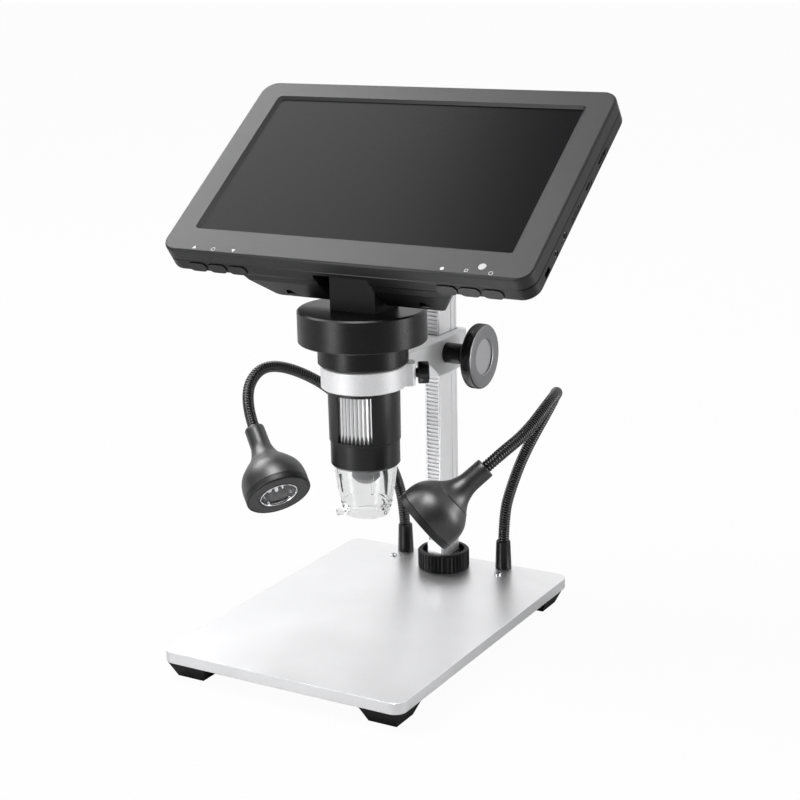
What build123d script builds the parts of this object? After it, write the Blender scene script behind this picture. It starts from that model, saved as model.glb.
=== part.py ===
"""Digital microscope with a tilting screen on a rack-and-pinion stand.

Millimetres. X runs along the front edge of the base, Y to the back, Z up from the floor.
Every function returns one sub-part in its place; the table at the end writes them all.
"""
from build123d import *
from math import atan2, cos, degrees, pi, radians, sin, sqrt, tan
import os

os.makedirs("parts", exist_ok=True)

# ---- clearances shared by every fit ---------------------------------------------------
run_fit = 0.06          # radial, shaft or slide that moves in its bore
seat_fit = 0.02         # radial, piece that stays put in its bore
free_gap = 0.35         # between pieces that pass each other without touching

# ---- base ------------------------------------------------------------------------------
base_w, base_d, base_t, base_r = 120.0, 162.0, 5.2, 5.5
foot_h, foot_top, foot_bottom = 7.6, 20.2, 13.4
foot_side, foot_end = 11.6, 11.9                    # foot centre to the plate's edges
foot_x, foot_y = base_w / 2 - foot_side, base_d / 2 - foot_end
base_z0, base_z1 = foot_h, foot_h + base_t
m3_shank, m3_head, m3_head_h = 1.5, 2.4, 1.8        # radii and head height
m5_shank, m5_head, m5_head_h = 2.5, 4.0, 2.3

# ---- column, its socket and ring nut ---------------------------------------------------
col_x, col_y, col_end, col_top = 8.0, 18.0, 15.0, 177.3
col_yc = base_d / 2 - col_end
col_front = col_yc - col_y / 2
rack_w, rack_depth, rack_z0, rack_z1 = 6.2, 2.4, 28.3, col_top - 2.0
socket_r, socket_h = 10.65, 6.5
nut_r, nut_h, nut_lip = 12.5, 9.0, 2.2
nut_bore = socket_r + run_fit
nut_lip_r = sqrt(col_x ** 2 + col_y ** 2) / 2 + free_gap
nut_ribs = 40

# ---- rack and pinion -------------------------------------------------------------------
module_mm, pinion_teeth, pressure = 0.6, 12, 20.0
pitch = pi * module_mm
pinion_r = module_mm * pinion_teeth / 2
rack_addendum, pinion_addendum, tooth_clear, backlash = 0.42, 0.50, 0.16, 0.16
pinion_y = col_front + rack_addendum - pinion_r
pinion_z = 123.5
pinion_w, shaft_r = 5.6, 2.0

# ---- carriage with clamp ring ----------------------------------------------------------
head_y = -4.4                                         # axis of the microscope head
car_w, car_z0, car_z1 = 20.0, 113.8, 130.3
car_ahead, car_behind, arm_step, arm_foot = 21.0, 11.5, 27.6, 36.0    # from the column's axis
car_front, car_back = col_yc - car_ahead, col_yc + car_behind
ring_r, ring_z0 = 18.8, 120.3
ring_bore = 16.0 + run_fit
arm_z0 = 124.1
liner_t = 0.55
pinion_bore = 4.6
lug_angle, lug_end, lug_w = 34.0, 22.6, 9.0
thumb_r, thumb_neck_r, thumb_in, thumb_out = 4.8, 2.9, 25.9, 28.6
knob_r, knob_in, knob_out, hub_r, hub_out = 15.0, 24.4, 29.6, 4.75, 18.5
knob_dish_r, knob_dish = 8.2, 1.6                       # recess in the knob's face

# ---- microscope head -------------------------------------------------------------------
disc_r, disc_z0, disc_z1 = 28.3, 140.7, 155.2
step_r, step_z0 = 19.9, car_z1 + 0.1
body_r, body_low_r, band_r = 16.0, 15.85, 15.4
shoulder_z, body_z0, body_top = 96.2, 84.9, 134.3
shell_t, cap_wall = 1.1, 1.6
cap_bore, cap_spigot = 17.6, 16.4                     # the step's spigot inside the cap
window_at, window_half, window_z0, window_z1 = 13.0, 30.0, 97.5, 118.3
guide_r, guide_bore, guide_z0, guide_z1 = 13.2, 11.6, 95.9, 119.9
guide_slot, guide_slot_z0, guide_slot_z1 = 1.65, 100.3, 112.3
web_z0 = 89.8
focus_r, focus_ribs, focus_groove = 14.5, 48, 0.6
barrel_r, barrel_bore, barrel_z0, barrel_z1 = 9.0, 7.4, 86.9, 110.3
nozzle_r, nozzle_bore, nozzle_z0, nozzle_cone = 6.2, 4.6, 76.6, 4.2
tip_r, tip_bore = 3.2, 2.6
hood_r, hood_low_r, hood_z0, hood_t = 14.2, 10.4, 61.6, 1.2
neck_at, neck_x, neck_y, pivot_z = 1.4, 22.6, 20.0, 168.3
neck_screw_x = (neck_at - 8.0, neck_at + 8.0)

# ---- screen housing, in its own frame: X right, Y up the glass, Z out of the glass -----
screen_y, screen_z, screen_tilt = 20.7, 211.4, 53.9    # glass centre and lean from upright
case_w, case_top, case_bottom, case_r = 182.0, 53.7, -58.0, 7.5
glass_side, glass_h = 13.9, 85.9                      # seven inch panel, visible area
glass_w = case_w - 2 * glass_side
panel_side, panel_low, panel_top = 10.0, 7.0, 4.7
front_n, seam_n, back_n, case_t = 1.5, -5.0, -12.0, 2.0
hump_n, hump_crease_n, hump_v, hump_r = -27.7, -14.8, -53.2, 4.0
hump_low, hump_side, hump_flare, hump_v_top = -57.2, 39.0, 10.0, -14.0
hump_base_w = case_w - 2 * hump_side
hump_top_w = hump_base_w - 2 * hump_flare
slot_half, slot_v_top, slot_n = 13.6, -33.5, -7.0
well_side, well_r = 8.5, 2.8
well_u, well_v = hump_top_w / 2 - well_side, hump_v + well_r / 4
pin_r, pin_half = 2.0, 24.0
key_w, key_n, key_out, key_travel, key_flange, key_gap = 9.6, 5.0, 0.5, 0.5, 1.1, 0.2
key_at_n = -8.4
port_n, port_deep = -8.4, 8.0
seam_groove = 0.35
port_places = ((30.4, 3.2, 10.6), (47.8, 2.8, 6.2), (63.7, 1.9, 11.4))    # drop from the top, depth, length
jack_places = ((77.1, 1.9), (87.3, 1.6))                                  # drop from the top, radius
light_side, light_up = 22.7, 5.3
light_at = (case_w / 2 - light_side, case_bottom + light_up)
board_n, board_t, board_up, board_h, board_lap = -9.2, 1.4, 28.0, 34.0, 5.0
board_v0, board_v1 = case_bottom + board_up, case_bottom + board_up + board_h
post_side = 37.0
post_u = case_w / 2 - post_side
board_posts = [(u, v) for u in (-post_u, post_u) for v in (board_v0 + 4.0, board_v1 - 4.0)]
cell_side, cell_drop, cell_h, cell_t = 45.0, 9.7, 36.0, 4.8
key_step, key_left, key_right = 10.6, 17.0, 18.6
key_centres = [key_left - case_w / 2 + key_step * k for k in range(3)]
key_centres += [case_w / 2 - key_right - key_step * k for k in (2, 1, 0)]

# ---- lamps: paths and places are offsets from the foot of each stem's collar -----------
collar_x, collar_end, collar_h, collar_floor = 27.3, 4.5, 14.0, 2.2
collar_y = base_d / 2 - collar_end
collar_r, collar_top_r, spigot_r, neck_r = 3.95, 3.4, 2.6, 2.7
side_screw_x, side_screw_y = 29.0, collar_y - 9.5
ball_cut, sleeve_in, sleeve_lead = 1.3, 5.0, 4.2
lamp_r, lamp_len, lamp_neck_r = 15.0, 36.5, 4.6
lamp_front, lamp_seat_r, lamp_board_r, lamp_board_z = 3.0, lamp_r - 1.6, lamp_r - 2.4, 10.2
lamp_lens_r, lamp_sight_r = lamp_r - 5.6, lamp_r - 6.4
lamp_curve = ((1.0, 0.083), (1.005, 0.164), (0.942, 0.274), (0.74, 0.384), (0.49, 0.466), (0.231, 0.548),
              (0.096, 0.63), (0.014, 0.712), (0.005, 0.822))
lamp_hollow = ((0.0, 0.729), (0.058, 0.63), (0.25, 0.518), (0.481, 0.436), (0.673, 0.367))
left_low = ((0.0, 0.0, 20.1), (-3.7, -1.1, 39.6), (-9.6, -16.5, 68.1), (-23.6, -29.0, 88.4),
            (-31.3, -41.3, 98.0), (-37.1, -53.3, 103.5), (-40.6, -62.1, 103.6), (-41.4, -70.3, 98.5))
left_high = ((-39.3, -75.5, 91.7),)
left_face, left_aim = (-9.2, -96.7, 56.2), (0.623, -0.418, -0.661)
right_low = ((0.0, 0.0, 26.2), (5.2, -0.5, 43.6), (13.0, -1.7, 62.1), (28.4, -5.2, 88.2),
             (32.4, -10.3, 94.2), (36.8, -18.5, 96.6))
right_high = ((39.5, -33.7, 95.4), (39.2, -54.9, 87.7), (35.6, -72.8, 82.4))
right_face, right_aim = (9.3, -96.0, 54.1), (-0.600, -0.482, -0.638)

screen = Plane(origin=(0, screen_y, screen_z), x_dir=(1, 0, 0),
               z_dir=(0, -cos(radians(screen_tilt)), sin(radians(screen_tilt))))


# ======================================= helpers ========================================
def rod(x, y, z0, z1, r):
    """Upright cylinder from z0 to z1."""
    return Pos(x, y, (z0 + z1) / 2) * Cylinder(r, z1 - z0)


def bar_x(y, z, x0, x1, r):
    """Cylinder along X from x0 to x1."""
    return Pos((x0 + x1) / 2, y, z) * Rot(0, 90, 0) * Cylinder(r, x1 - x0)


def block(x0, x1, y0, y1, z0, z1):
    """Box between two corners."""
    return Pos((x0 + x1) / 2, (y0 + y1) / 2, (z0 + z1) / 2) * Box(x1 - x0, y1 - y0, z1 - z0)


def turned(points):
    """Solid of revolution about Z from (radius, height) points."""
    return revolve(Plane.XZ * make_face(Polyline(*points, close=True)), Axis.Z)


def on_head(solid):
    """Place a piece modelled about Z on the axis of the head."""
    return Pos(0, head_y, 0) * solid


def group(solids):
    """Like pieces that share one sub-part."""
    return Compound(children=list(solids))


def ribbed(r, depth, count):
    """Round outline with shallow V grooves."""
    pts = []
    for i in range(2 * count):
        a = pi * i / count
        rr = r if i % 2 == 0 else r - depth
        pts.append((rr * cos(a), rr * sin(a)))
    return make_face(Polyline(*pts, close=True))


def slab(w, y0, y1, n0, n1, r):
    """Rounded plate in the screen frame between two depths."""
    face = Pos(0, (y0 + y1) / 2, n0) * RectangleRounded(w, y1 - y0, r)
    return extrude(face, n1 - n0)


def screw(r, head_r, head_h, length):
    """Pan-head screw, point down, seat of the head at Z = 0."""
    head = Pos(0, 0, head_h / 2) * Cylinder(head_r, head_h)
    head = chamfer(head.edges().group_by(Axis.Z)[-1], head_h * 0.3)
    long, deep = head_r * 1.1, head_h * 0.8
    slot = Pos(0, 0, head_h) * (Box(long, 0.5, deep) + Box(0.5, long, deep))
    return head - slot + Pos(0, 0, -length / 2) * Cylinder(r, length)


# ======================================== base ==========================================
foot_places = [(sx * foot_x, sy * foot_y) for sx in (-1, 1) for sy in (-1, 1)]
socket_screw_x = (col_x / 2 + socket_r) / 2


def base_plate():
    """Anodised plate with the holes for everything bolted to it."""
    plate = extrude(Pos(0, 0, base_z0) * RectangleRounded(base_w, base_d, base_r), base_t)
    plate = chamfer(plate.edges().group_by(Axis.Z)[-1], 0.15)
    plate = chamfer(plate.edges().group_by(Axis.Z)[0], 0.3)
    for x, y in foot_places:
        plate -= rod(x, y, base_z0 - 1, base_z1 - 1.2, m3_shank + seat_fit)
    plate -= rod(0, col_yc, base_z0 - 1, base_z1 + 1, m5_shank + seat_fit)
    plate -= rod(0, col_yc, base_z0 - 1, base_z0 + m5_head_h + 0.3, m5_head + 0.3)
    for sx in (-1, 1):
        plate -= rod(sx * socket_screw_x, col_yc, base_z0 - 1, base_z1 + 1, m3_shank + seat_fit)
        plate -= rod(sx * socket_screw_x, col_yc, base_z0 - 1, base_z0 + m3_head_h + 0.2, m3_head + 0.2)
        plate -= rod(sx * collar_x, collar_y, base_z0 - 1, base_z1 + 1, spigot_r + seat_fit)
        plate -= rod(sx * side_screw_x, side_screw_y, base_z1 - 3.4, base_z1 + 1, 1.1 + seat_fit)
    return plate


def rubber_feet():
    """Four tapered feet, counterbored from below."""
    feet = []
    for x, y in foot_places:
        lo = Pos(x, y, 0) * Rectangle(foot_bottom, foot_bottom)
        hi = Pos(x, y, foot_h) * Rectangle(foot_top, foot_top)
        foot = loft([lo, hi])
        foot -= rod(x, y, -1, foot_h + 1, m3_shank + 0.1) + rod(x, y, -1, 2.4, m3_head + 0.4)
        feet.append(foot)
    return group(feet)


def foot_screws():
    """Screws that hold the feet to the plate."""
    one = Rot(180, 0, 0) * screw(m3_shank, m3_head, m3_head_h, foot_h - 2.4 + base_t - 1.6)
    return group(Pos(x, y, 2.4) * one for x, y in foot_places)


def column():
    """Extruded column: rack groove in front, a fine groove down each side."""
    outline = RectangleRounded(col_x, col_y, 0.7)
    bar = extrude(Pos(0, col_yc, base_z1) * outline, col_top - base_z1)
    half, deep = rack_w / 2 + seat_fit, col_front + rack_depth + seat_fit
    bar -= block(-half, half, col_front - 1, deep, rack_z0 - seat_fit, col_top + 1)
    for sx in (-1, 1):
        bar -= block(sx * col_x / 2 - 0.3, sx * col_x / 2 + 0.3, col_front + 11.5, col_front + 12.2,
                     base_z1 - 1, col_top + 1)
        bar -= block(sx * col_x / 2 - 0.25, sx * col_x / 2 + 0.25, col_front + 15.6, col_front + 16.1,
                     base_z1 - 1, col_top + 1)
    return bar - rod(0, col_yc, base_z1 - 1, base_z1 + 12.5, m5_shank + seat_fit)


def column_rack():
    """Toothed strip pressed into the groove, teeth level with the column's front."""
    root = rack_addendum + pinion_addendum + tooth_clear
    half_pitch_line = pitch / 4
    tip = half_pitch_line - rack_addendum * tan(radians(pressure))
    base = half_pitch_line + (root - rack_addendum) * tan(radians(pressure))
    first = int((rack_z0 - pinion_z) / pitch) + 2
    last = int((rack_z1 - pinion_z) / pitch) - 2
    pts = [(col_front + rack_depth, rack_z0), (col_front + root, rack_z0)]
    for k in range(first, last + 1):
        z = pinion_z + k * pitch
        pts += [(col_front + root, z - base), (col_front, z - tip)]
        pts += [(col_front, z + tip), (col_front + root, z + base)]
    pts += [(col_front + root, rack_z1), (col_front + rack_depth, rack_z1)]
    return extrude(Plane.YZ * make_face(Polyline(*pts, close=True)), rack_w / 2, both=True)


def column_socket():
    """Round boss that carries the column and the nut's thread."""
    boss = rod(0, col_yc, base_z1, base_z1 + socket_h, socket_r)
    boss = chamfer(boss.edges().group_by(Axis.Z)[-1], 0.4)
    outline = RectangleRounded(col_x + 2 * seat_fit, col_y + 2 * seat_fit, 0.7)
    boss -= extrude(Pos(0, col_yc, base_z1 - 1) * outline, 20)
    for sx in (-1, 1):
        boss -= rod(sx * socket_screw_x, col_yc, base_z1 - 1, base_z1 + 5, m3_shank + seat_fit)
    return boss


def column_nut():
    """Ribbed ring nut with an inner lip over the socket."""
    nut = extrude(ribbed(nut_r, 0.35, nut_ribs), nut_h - 0.1)
    nut -= Pos(0, 0, (nut_h - nut_lip) / 2 - 0.1) * Cylinder(nut_bore, nut_h - nut_lip)
    nut -= Cylinder(nut_lip_r, 40)
    nut &= turned([(0, 0), (nut_r - 0.5, 0), (nut_r, 0.5), (nut_r, nut_h - 0.8), (nut_r - 0.7, nut_h - 0.1),
                   (0, nut_h - 0.1)])
    return Pos(0, col_yc, base_z1 + 0.1) * nut


def column_screws():
    """Centre screw up into the column and two into the socket."""
    seat = base_z0 + m5_head_h + 0.3
    centre = Rot(180, 0, 0) * screw(m5_shank, m5_head, m5_head_h, base_z1 + 11.5 - seat)
    centre = Pos(0, col_yc, seat) * centre
    seat = base_z0 + m3_head_h + 0.2
    side = Rot(180, 0, 0) * screw(m3_shank, m3_head, m3_head_h, base_z1 + 4.5 - seat)
    return group([centre] + [Pos(sx * socket_screw_x, col_yc, seat) * side for sx in (-1, 1)])


def lamp_collars():
    """Tapered sockets at the back edge that take the lamp stems."""
    collar = turned([(0, 0), (collar_r - 0.3, 0), (collar_r, 0.3), (collar_top_r + 0.05, collar_h - 0.5),
                     (collar_top_r - 0.3, collar_h), (0, collar_h)])
    collar += Pos(0, 0, -1.6) * Cylinder(spigot_r, 3.2)
    collar -= Pos(0, 0, collar_h) * Cylinder(neck_r + run_fit, 2 * (collar_h - collar_floor))
    return group(Pos(sx * collar_x, collar_y, base_z1) * collar for sx in (-1, 1))


def collar_screws():
    """Small screws beside the lamp collars."""
    one = screw(1.1, 1.7, 0.8, 3.2)
    return group(Pos(sx * side_screw_x, side_screw_y, base_z1) * one for sx in (-1, 1))


# ======================================== lamps =========================================
def lamp_frame(side, face, aim):
    """Plane on the lamp's face with Z pointing back along the lamp."""
    back = Vector(*aim).normalized() * -1
    across = back.cross(Vector(0, 0, 1)).normalized()
    return Plane(origin=stem_points(side, [face])[0], x_dir=across, z_dir=back)


def bent_tube(points):
    """Round tube along straight runs joined by tangent arcs."""
    pts = [Vector(*p) for p in points]
    edges, here = [], pts[0]
    for before, corner, after in zip(pts, pts[1:], pts[2:]):
        reach = 0.45 * min((corner - before).length, (after - corner).length)
        a = corner + (before - corner).normalized() * reach
        b = corner + (after - corner).normalized() * reach
        edges += [Line(here, a), TangentArc(a, b, tangent=corner - before)]
        here = b
    path = Wire(edges + [Line(here, pts[-1])])
    return sweep(Plane(origin=path @ 0, z_dir=path % 0) * Circle(neck_r), path=path)


def stem_points(side, offsets):
    """Offsets from the foot of a collar as points in the world."""
    return [Vector(side * collar_x + dx, collar_y + dy, base_z1 + dz) for dx, dy, dz in offsets]


def stem_pivot(side, low, high):
    """Point where the stem bends: half way along the run between its two pieces."""
    a, b = stem_points(side, [low[-1], high[0]])
    return (a + b) * 0.5


def lamp_neck_lower(side, low, high):
    """Flexible stem from the collar up to the bend, ended by a ball."""
    foot = stem_points(side, [(0, 0, collar_floor + 0.1)])
    pivot = stem_pivot(side, low, high)
    return bent_tube(foot + stem_points(side, low) + [pivot]) + Pos(*pivot) * Sphere(neck_r)


def lamp_neck_upper(side, low, high, frame):
    """Flexible stem from the bend into the lamp, cupped around the ball."""
    pivot, points = stem_pivot(side, low, high), stem_points(side, high)
    lead = frame.from_local_coords(Vector(0, 0, lamp_len + sleeve_lead))
    end = frame.from_local_coords(Vector(0, 0, lamp_len - sleeve_in))
    tube = bent_tube([pivot] + points + [lead, end])
    trim = Plane(origin=pivot, z_dir=points[0] - pivot) * Pos(0, 0, ball_cut - 5) * Cylinder(neck_r + 1, 10)
    return tube - trim - Pos(*pivot) * Sphere(neck_r + run_fit)


def lamp_shell():
    """Domed shell that narrows to a sleeve around the stem."""
    spread = lamp_r - lamp_neck_r
    outer = [(lamp_neck_r + spread * r, lamp_len * z) for r, z in lamp_curve]
    outer[0] = (lamp_r, lamp_front)
    outer += [(lamp_neck_r, lamp_len - 0.4), (lamp_neck_r - 0.4, lamp_len)]
    inner = [(neck_r + 0.9, lamp_len), (neck_r + 0.9, lamp_len - 1.0), (neck_r + seat_fit, lamp_len - 1.6),
             (neck_r + seat_fit, lamp_len * 0.753)]
    inner += [(lamp_neck_r - 1.0 + spread * r, lamp_len * z) for r, z in lamp_hollow]
    inner += [(lamp_board_r - 1.0, lamp_board_z + 1.0), (lamp_board_r - 1.0, lamp_board_z),
              (lamp_board_r, lamp_board_z), (lamp_seat_r, lamp_front + 3.0), (lamp_seat_r, lamp_front)]
    return turned(outer + inner)


def lamp_bezel():
    """Flat front ring with a spigot that seats in the shell."""
    spigot = lamp_seat_r - seat_fit
    pts = [(lamp_sight_r, 0), (lamp_r - 0.3, 0), (lamp_r, 0.3), (lamp_r, lamp_front - 0.3),
           (lamp_r - 0.2, lamp_front), (spigot, lamp_front), (spigot, lamp_front + 2.0),
           (lamp_board_r - 0.2, lamp_front + 2.0), (lamp_board_r - 0.2, lamp_front - 0.8),
           (lamp_lens_r, lamp_front - 0.8), (lamp_lens_r, 1.2), (lamp_sight_r, 1.2)]
    return turned(pts)


def lamp_lens():
    """Clear disc held behind the lip of the bezel."""
    return Pos(0, 0, 1.6) * Cylinder(lamp_lens_r - seat_fit, 0.8)


def lamp_reflector():
    """Bright cone from behind the lens down to the light source."""
    rim, deep = lamp_lens_r - 0.04, lamp_board_z - 1.0
    return turned([(rim - 0.96, 2.0), (rim, 2.0), (rim, 2.5), (rim - 0.56, 2.5), (3.4, deep - 0.6),
                   (3.4, deep), (2.4, deep), (2.4, deep - 0.7)])


def lamp_led():
    """Round board seated in the shell with its light source."""
    board = rod(0, 0, lamp_board_z - 1.0, lamp_board_z, lamp_board_r)
    return board + block(-1.3, 1.3, -1.3, 1.3, lamp_board_z - 1.8, lamp_board_z - 1.0)


# ======================================= carriage =======================================
lug_dir = (cos(radians(lug_angle)), sin(radians(lug_angle)))
clamp_z = (ring_z0 + car_z1) / 2


def along_lug(solid):
    """Turn a piece modelled along X onto the clamp lug's line."""
    return Pos(0, head_y, clamp_z) * Rot(0, 0, lug_angle) * solid


def carriage_arm():
    """Carriage block, arm and clamp ring in one casting."""
    side = [(head_y + 12, arm_z0), (col_yc - arm_foot, arm_z0), (col_yc - arm_step, ring_z0 + 0.2),
            (car_front + 1.7, car_z0), (car_back, car_z0), (car_back, car_z1), (head_y + 12, car_z1)]
    arm = extrude(Plane.YZ * make_face(Polyline(*side, close=True)), car_w / 2, both=True)
    arm = fillet(arm.edges().filter_by(Axis.Z).group_by(Axis.Y)[-1], 6.0)
    ring = rod(0, head_y, ring_z0, car_z1, ring_r)
    ring = chamfer(ring.edges(), 0.5)
    lug = block(10, lug_end, -lug_w / 2, lug_w / 2, 0, car_z1 - ring_z0)
    lug = Pos(0, head_y, ring_z0) * Rot(0, 0, lug_angle) * lug
    lug = chamfer(lug.edges().filter_by(Axis.Z), 1.2)
    body = arm + ring + lug
    body -= rod(0, head_y, ring_z0 - 1, car_z1 + 1, ring_bore)
    body -= along_lug(bar_x(0, 0, 10, lug_end + 5, 1.5 + run_fit))
    body -= bar_x(pinion_y, pinion_z, -car_w, car_w, pinion_bore)
    grow = 2 * (run_fit + liner_t + seat_fit)
    return body - extrude(Pos(0, col_yc, 0) * RectangleRounded(col_x + grow, col_y + grow, 1.2), 300)


def carriage_liner():
    """Thin plastic sleeve that slides on the column."""
    outer = RectangleRounded(col_x + 2 * (run_fit + liner_t), col_y + 2 * (run_fit + liner_t), 1.2)
    inner = RectangleRounded(col_x + 2 * run_fit, col_y + 2 * run_fit, 0.7)
    sleeve = extrude(Pos(0, col_yc, car_z0) * (outer - inner), car_z1 - car_z0)
    return sleeve - bar_x(pinion_y, pinion_z, -car_w, car_w, pinion_bore)


def involute(base_r, r):
    """Roll angle of an involute at radius r."""
    t = sqrt(max((r / base_r) ** 2 - 1, 0))
    return t - atan2(t, 1)


def pinion_outline():
    """Stub-tooth pinion, a tooth space facing +Y."""
    base_r = pinion_r * cos(radians(pressure))
    tip_r, root_r = pinion_r + pinion_addendum, pinion_r - rack_addendum - tooth_clear
    half = (pitch / 2 - backlash) / 2 / pinion_r
    pts = []
    for i in range(pinion_teeth):
        centre = (i + 0.5) * 2 * pi / pinion_teeth
        flank = [(root_r, half + involute(base_r, pinion_r))]
        for k in range(4):
            r = base_r + (tip_r - base_r) * k / 3
            flank.append((r, half + involute(base_r, pinion_r) - involute(base_r, r)))
        for r, a in flank:
            pts.append((r * cos(centre - a), r * sin(centre - a)))
        for r, a in reversed(flank):
            pts.append((r * cos(centre + a), r * sin(centre + a)))
    return make_face(Polyline(*pts, close=True))


def pinion_shaft():
    """Pinion and shaft in one piece, ended by a flat for the knob."""
    across = Plane(origin=(0, pinion_y, pinion_z), x_dir=(0, 1, 0), z_dir=(1, 0, 0))
    gear = extrude(across * pinion_outline(), pinion_w / 2, both=True)
    shaft = bar_x(pinion_y, pinion_z, -car_w / 2 + 1.2, knob_out - 2.2, shaft_r)
    return gear + shaft


def shaft_bushes():
    """Black bushes either side of the pinion; the right one runs on as the knob's hub."""
    inner = col_x / 2 + run_fit + liner_t + 0.1
    right = bar_x(pinion_y, pinion_z, inner, car_w / 2, pinion_bore - seat_fit)
    right += bar_x(pinion_y, pinion_z, car_w / 2, hub_out, hub_r)
    left = bar_x(pinion_y, pinion_z, -car_w / 2, -inner, pinion_bore - seat_fit)
    left += bar_x(pinion_y, pinion_z, -car_w / 2 - 1.2, -car_w / 2, hub_r + 1.0)
    bore = bar_x(pinion_y, pinion_z, -car_w / 2 + 0.9, hub_out + 1, shaft_r + run_fit)
    return group([right - bore, left - bore])


def height_knob():
    """Knurled knob with a flared neck and a dished face."""
    r = knob_r
    x0 = hub_out + 0.3
    body = turned([(0, x0), (4.6, x0), (5.0, knob_in - 3.4), (6.4, knob_in - 1.6), (9.0, knob_in - 0.3),
                   (r - 0.8, knob_in), (r, knob_in + 0.8), (r, knob_out - 0.7), (r - 0.6, knob_out),
                   (knob_dish_r, knob_out), (knob_dish_r, knob_out - knob_dish), (0, knob_out - knob_dish)])
    body &= Pos(0, 0, x0 - 1) * extrude(ribbed(r, 0.3, 60), 20) + Pos(0, 0, x0) * Cylinder(r - 3.4, 40)
    body = Pos(0, pinion_y, pinion_z) * Rot(0, 90, 0) * body
    return body - bar_x(pinion_y, pinion_z, 0, knob_out - 2.2, shaft_r + seat_fit)


def knob_insert():
    """Metal disc in the knob's recess."""
    return bar_x(pinion_y, pinion_z, knob_out - knob_dish, knob_out - 0.7, knob_dish_r - seat_fit)


def clamp_screw():
    """Thumb screw with ribbed head and collar, threaded through the lug."""
    screw_rod = bar_x(0, 0, body_r + free_gap, thumb_in + 1, 1.5)
    collar = bar_x(0, 0, lug_end + 0.3, thumb_in + 0.1, thumb_neck_r)
    head = Pos(thumb_in, 0, 0) * Rot(0, 90, 0) * extrude(ribbed(thumb_r, 0.3, 28), thumb_out - thumb_in)
    head &= Rot(0, 90, 0) * turned([(0, thumb_in), (thumb_r - 0.3, thumb_in), (thumb_r, thumb_in + 0.3),
                                    (thumb_r, thumb_out - 0.5), (thumb_r - 0.5, thumb_out), (0, thumb_out)])
    return along_lug(screw_rod + collar + head)


# ========================================= head =========================================
def disc_housing():
    """Wide round cap of the head, open below."""
    bore, roof = disc_r - cap_wall, disc_z1 - cap_wall - 0.2
    shell = turned([(0, disc_z1), (disc_r - 0.7, disc_z1), (disc_r, disc_z1 - 0.7), (disc_r, disc_z0 + 0.5),
                    (disc_r - 0.5, disc_z0), (cap_bore, disc_z0), (cap_bore, disc_z0 + cap_wall),
                    (bore, disc_z0 + cap_wall), (bore, roof), (0, roof)])
    shell = on_head(shell)
    for x in neck_screw_x:
        shell -= rod(x, head_y, disc_z1 - 5, disc_z1 + 1, 1.25 + seat_fit)
    return shell


def step_housing():
    """Smaller ring under the cap that seats on the clamp ring."""
    seat, top = cap_bore - seat_fit, disc_z0 + 2.6
    pts = [(body_r + seat_fit, step_z0), (step_r - 1.0, step_z0), (step_r, step_z0 + 1.0),
           (step_r, disc_z0 - 1.5), (step_r - 0.3, disc_z0 - 1.3), (step_r - 0.3, disc_z0 - 1.0),
           (step_r, disc_z0 - 0.8), (step_r, disc_z0), (seat, disc_z0), (seat, top), (cap_spigot, top),
           (cap_spigot, body_top), (body_r + seat_fit, body_top)]
    return on_head(turned(pts))


def body_shell():
    """Tapered grip with two windows, a lower band and the web that guides the barrel."""
    slide, inside = barrel_r + run_fit, body_r - shell_t
    pts = [(body_r, body_top), (body_r, ring_z0 - 0.5), (body_low_r, shoulder_z + 0.4), (band_r, shoulder_z),
           (band_r, body_z0 + 0.9), (band_r - 0.8, body_z0), (hood_r + seat_fit, body_z0),
           (hood_r + seat_fit, web_z0), (slide, web_z0), (slide, guide_z0 - 1.0),
           (guide_bore, guide_z0 - 1.0), (guide_bore, guide_z0), (inside, guide_z0), (inside, body_top)]
    shell = turned(pts)
    for at in (window_at, window_at + 180):
        shell -= window_wedge(at)
    return on_head(shell)


def window_wedge(at):
    """Cutter for one finger window centred on a bearing from the front."""
    reach = 2 * body_r
    half = tan(radians(window_half)) * reach
    wedge = Polyline((0, 0), (-half, -reach), (half, -reach), close=True)
    cut = extrude(Pos(0, 0, window_z0) * make_face(wedge), window_z1 - window_z0)
    return Rot(0, 0, at) * (cut - Cylinder(body_r - shell_t - 0.5, 400))


def guide_tube():
    """Inner tube that carries the focus ring, slotted for the barrel's lugs."""
    z0, z1 = guide_z0, guide_z1
    tube = rod(0, 0, z0, z1, guide_r) - rod(0, 0, z0 - 1, z1 + 1, guide_bore)
    tube += rod(0, 0, z1 - 0.8, z1, body_r - shell_t - seat_fit) - rod(0, 0, z1 - 2, z1 + 1, guide_bore)
    slot = block(-2 * guide_r, 2 * guide_r, -guide_slot, guide_slot, guide_slot_z0, guide_slot_z1)
    return on_head(tube - slot)


def focus_ring():
    """Bright ribbed ring behind the windows."""
    z0, z1 = guide_z0 + 0.1, guide_z1 - 0.9
    ring = extrude(Pos(0, 0, z0) * ribbed(focus_r, focus_groove, focus_ribs), z1 - z0)
    return on_head(ring - rod(0, 0, z0 - 1, z1 + 1, guide_r + run_fit))


def lens_barrel():
    """Sliding barrel with side lugs, ended by the tapered nozzle."""
    z0, z1 = nozzle_z0, barrel_z0
    pts = [(tip_bore, z0), (tip_r, z0), (nozzle_r, z0 + nozzle_cone), (nozzle_r, z1 - 0.6), (barrel_r, z1),
           (barrel_r, barrel_z1), (barrel_bore, barrel_z1), (barrel_bore, z1 + 3.4), (nozzle_bore, z1 - 0.6),
           (nozzle_bore, z0 + nozzle_cone + 0.3), (tip_bore, z0 + nozzle_cone - 1.4)]
    reach, z = guide_r - 0.3, (guide_slot_z0 + guide_slot_z1) / 2 - 2.0
    lugs = block(-reach, reach, 0.15 - guide_slot, guide_slot - 0.15, z, z + 3.0)
    return on_head(turned(pts) + (lugs - Cylinder(barrel_r - 0.6, 400)))


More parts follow.
